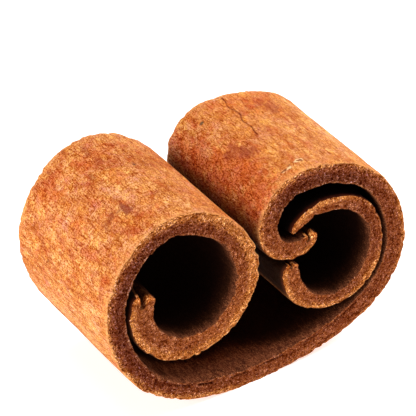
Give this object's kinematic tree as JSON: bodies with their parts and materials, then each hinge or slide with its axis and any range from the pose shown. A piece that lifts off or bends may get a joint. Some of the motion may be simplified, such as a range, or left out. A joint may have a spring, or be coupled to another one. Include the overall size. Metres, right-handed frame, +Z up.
{
  "type": "cinnamon stick",
  "caption": "Short cut length of dried cinnamon bark, curled in from its long edges into side-by-side rolls on a shared base, with a thinner strip curled up loose inside.",
  "frame": {"origin": "centre of the bounding box at the base, on the surface that the bark rests on", "axes": "+X across the rolls, from the one with the open hollow to the one with the loose curl; +Y along the grain, from the front cut to the back cut; +Z up"},
  "size_m": [0.0376, 0.0168, 0.0247],
  "materials": {
    "outer_bark": "dry matt bark, mottled orange brown outside, granular darker brown where sawn, dark brown inside",
    "inner_bark": "dry matt bark, granular brown where sawn, dark brown inside"
  },
  "bodies": {
    "root": {"double_roll": "outer_bark", "nested_curl": "inner_bark"}
  },
  "joints": []
}
